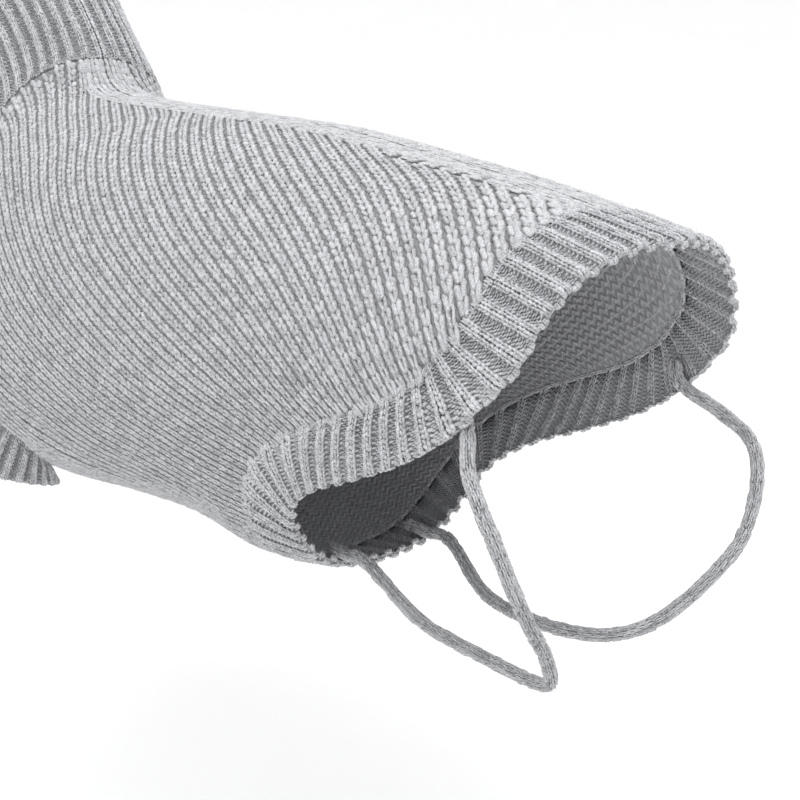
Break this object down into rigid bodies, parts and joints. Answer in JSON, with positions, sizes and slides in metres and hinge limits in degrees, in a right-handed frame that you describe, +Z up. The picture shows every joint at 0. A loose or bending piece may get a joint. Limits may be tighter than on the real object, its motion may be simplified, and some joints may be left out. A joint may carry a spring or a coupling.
{
  "type": "dog sweater",
  "caption": "Knitted dog sweater in its worn shape, with a ribbed hem trim, collar and front leg cuffs, and a knitted loop for each hind leg.",
  "frame": {"origin": "inside of the cloth on the centre line of the back, half way from the hem to the collar seam, where the garment rests on the wearer's back", "axes": "+X towards the wearer's head, +Y to the wearer's left, +Z up"},
  "size_m": [0.4397, 0.1458, 0.2405],
  "materials": {
    "body_panel": "matte heather knit",
    "hem_rib": "matte heather rib knit",
    "collar": "matte heather rib knit",
    "cuff_left": "matte heather rib knit",
    "cuff_right": "matte heather rib knit",
    "leg_loop_left": "matte knitted cord",
    "leg_loop_right": "matte knitted cord"
  },
  "bodies": {
    "root": {"body_panel": "body_panel", "hem_rib": "hem_rib", "collar": "collar", "cuff_left": "cuff_left", "cuff_right": "cuff_right", "leg_loop_left": "leg_loop_left", "leg_loop_right": "leg_loop_right"}
  },
  "joints": []
}
